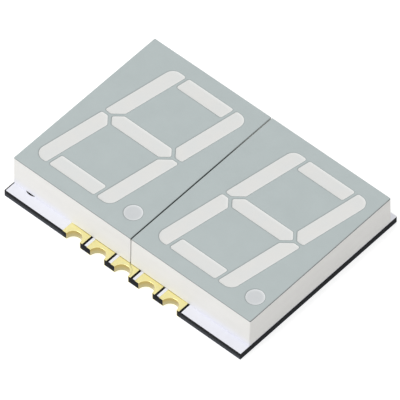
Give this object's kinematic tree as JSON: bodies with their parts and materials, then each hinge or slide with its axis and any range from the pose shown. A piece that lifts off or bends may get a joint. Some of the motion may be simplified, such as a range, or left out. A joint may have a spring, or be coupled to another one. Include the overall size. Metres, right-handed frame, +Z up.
{
  "type": "seven segment display",
  "caption": "Flat surface-mount numeric display: slanted digits of white bars in grey-faced housings on a thin board with half-hole terminals.",
  "frame": {"origin": "centre of the soldering plane, the board's underside", "axes": "+X to the right along the digits, +Y towards their tops, +Z up to the viewing face"},
  "size_m": [0.0248, 0.0186, 0.0037],
  "materials": {
    "laminate": "black glass-epoxy laminate, routed edges",
    "copper": "bare copper foil under ink",
    "board_ink": "white solder-resist ink, satin",
    "gold_plating": "gold over nickel plating on copper, satin",
    "housing_moulding": "white filled polymer, as moulded",
    "face_coat": "grey matt paint, printed on the face",
    "gold_wire": "drawn gold wire",
    "bar_epoxy": "white diffused epoxy, satin",
    "point_epoxy": "white diffused epoxy over a darker point, satin",
    "chip_crystal": "sawn semiconductor crystal"
  },
  "bodies": {
    "root": {"board_core": "laminate", "top_foil": "copper", "bottom_foil": "copper", "vias": "copper", "top_ink": "board_ink", "bottom_ink": "board_ink", "terminal_1": "gold_plating", "terminal_2": "gold_plating", "terminal_3": "gold_plating", "terminal_4": "gold_plating", "terminal_5": "gold_plating", "terminal_6": "gold_plating", "terminal_7": "gold_plating", "terminal_8": "gold_plating", "terminal_9": "gold_plating", "terminal_10": "gold_plating", "left_housing": "housing_moulding", "left_face_coat": "face_coat", "left_bond_wires": "gold_wire", "right_housing": "housing_moulding", "right_face_coat": "face_coat", "right_bond_wires": "gold_wire", "left_segment_a": "bar_epoxy", "left_segment_b": "bar_epoxy", "left_segment_c": "bar_epoxy", "left_segment_d": "bar_epoxy", "left_segment_e": "bar_epoxy", "left_segment_f": "bar_epoxy", "left_segment_g": "bar_epoxy", "left_decimal_point": "point_epoxy", "right_segment_a": "bar_epoxy", "right_segment_b": "bar_epoxy", "right_segment_c": "bar_epoxy", "right_segment_d": "bar_epoxy", "right_segment_e": "bar_epoxy", "right_segment_f": "bar_epoxy", "right_segment_g": "bar_epoxy", "right_decimal_point": "point_epoxy", "left_chip_a": "chip_crystal", "left_chip_b": "chip_crystal", "left_chip_c": "chip_crystal", "left_chip_d": "chip_crystal", "left_chip_e": "chip_crystal", "left_chip_f": "chip_crystal", "left_chip_g": "chip_crystal", "left_chip_point": "chip_crystal", "right_chip_a": "chip_crystal", "right_chip_b": "chip_crystal", "right_chip_c": "chip_crystal", "right_chip_d": "chip_crystal", "right_chip_e": "chip_crystal", "right_chip_f": "chip_crystal", "right_chip_g": "chip_crystal", "right_chip_point": "chip_crystal"}
  },
  "joints": []
}
